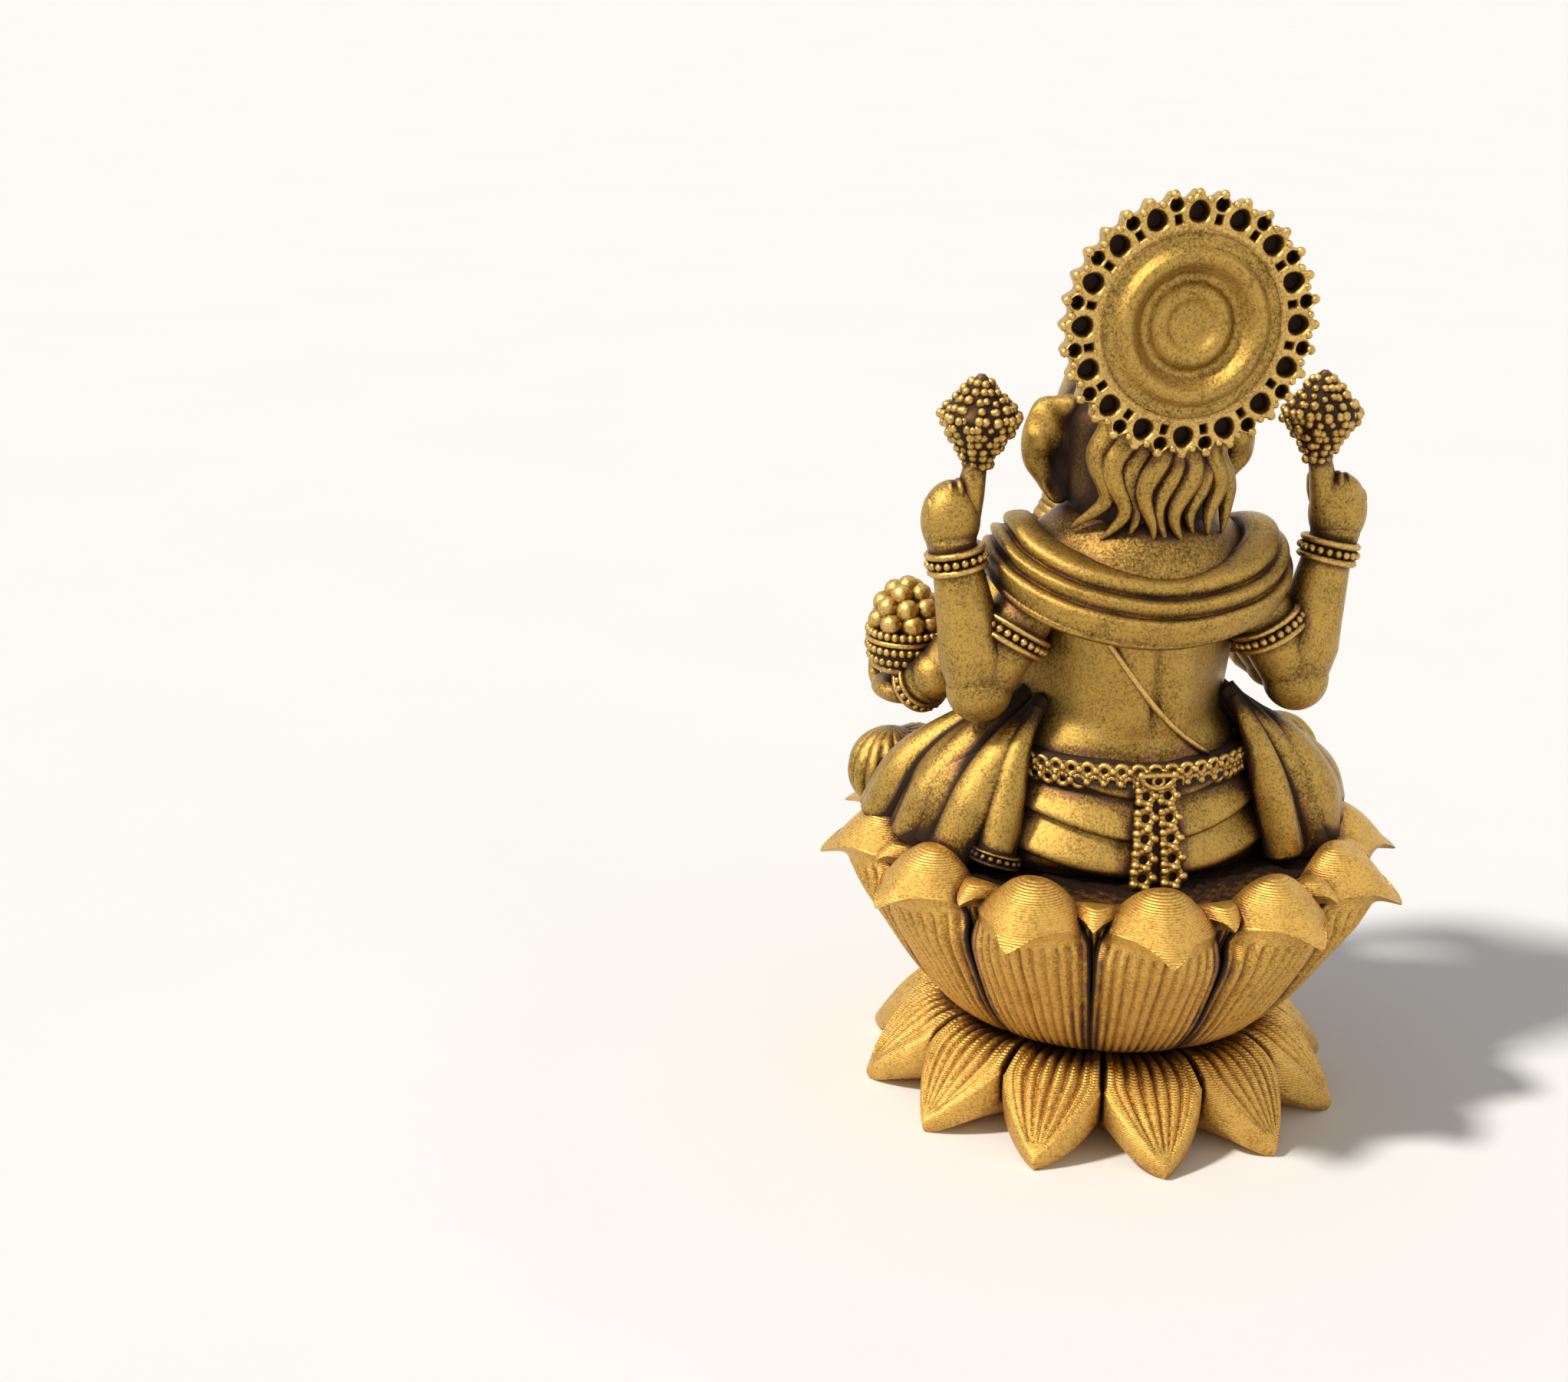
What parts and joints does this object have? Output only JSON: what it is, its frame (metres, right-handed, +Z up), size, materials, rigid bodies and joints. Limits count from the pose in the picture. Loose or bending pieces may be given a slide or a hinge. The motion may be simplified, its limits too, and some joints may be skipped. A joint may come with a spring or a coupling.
{
  "type": "elephant-headed deity statuette",
  "caption": "Small gilded seated elephant-headed deity on a double lotus base, with a pierced halo, draped shawl, raised rear hands holding lotus buds and a bowl of sweets.",
  "frame": {"origin": "centre of the flat underside of the lower lotus, on the ground", "axes": "+Z up, the figure faces -Y, +X is the figure's own left"},
  "size_m": [0.0482, 0.0482, 0.0757],
  "materials": {
    "gold_base": "satin antique gold with dark patina in the grooves",
    "gold_figure": "fine-grained satin antique gold",
    "gold_ornament": "satin antique gold, brighter on the edges",
    "patina_seat": "blackened, pitted",
    "fixing_steel": "plain"
  },
  "bodies": {
    "root": {"belt": "gold_ornament", "belt_buckle": "gold_ornament", "belt_tassel": "gold_ornament", "bowl": "gold_ornament", "crown": "gold_ornament", "fixing_nut": "fixing_steel", "fixing_stud": "fixing_steel", "fixing_washer": "fixing_steel", "hair": "gold_figure", "halo_disc": "gold_ornament", "halo_post": "gold_ornament", "halo_rim": "gold_ornament", "head": "gold_figure", "hips": "gold_figure", "left_anklet": "gold_ornament", "left_bud": "gold_ornament", "left_ear": "gold_figure", "left_foot": "gold_figure", "left_front_arm": "gold_figure", "left_front_armlet": "gold_ornament", "left_front_bracelet": "gold_ornament", "left_leg": "gold_figure", "left_rear_arm": "gold_figure", "left_rear_armlet": "gold_ornament", "left_rear_bracelet": "gold_ornament", "left_sash": "gold_figure", "left_tusk": "gold_figure", "lower_lotus": "gold_base", "necklace": "gold_ornament", "right_anklet": "gold_ornament", "right_bud": "gold_ornament", "right_ear": "gold_figure", "right_foot": "gold_figure", "right_front_arm": "gold_figure", "right_front_armlet": "gold_ornament", "right_front_bracelet": "gold_ornament", "right_leg": "gold_figure", "right_rear_arm": "gold_figure", "right_rear_armlet": "gold_ornament", "right_rear_bracelet": "gold_ornament", "right_sash": "gold_figure", "right_tusk": "gold_figure", "sacred_thread_back": "gold_ornament", "sacred_thread_front": "gold_ornament", "seat_plate": "patina_seat", "shawl": "gold_figure", "sweets": "gold_ornament", "torso": "gold_figure", "trunk": "gold_figure", "upper_lotus": "gold_base"}
  },
  "joints": []
}
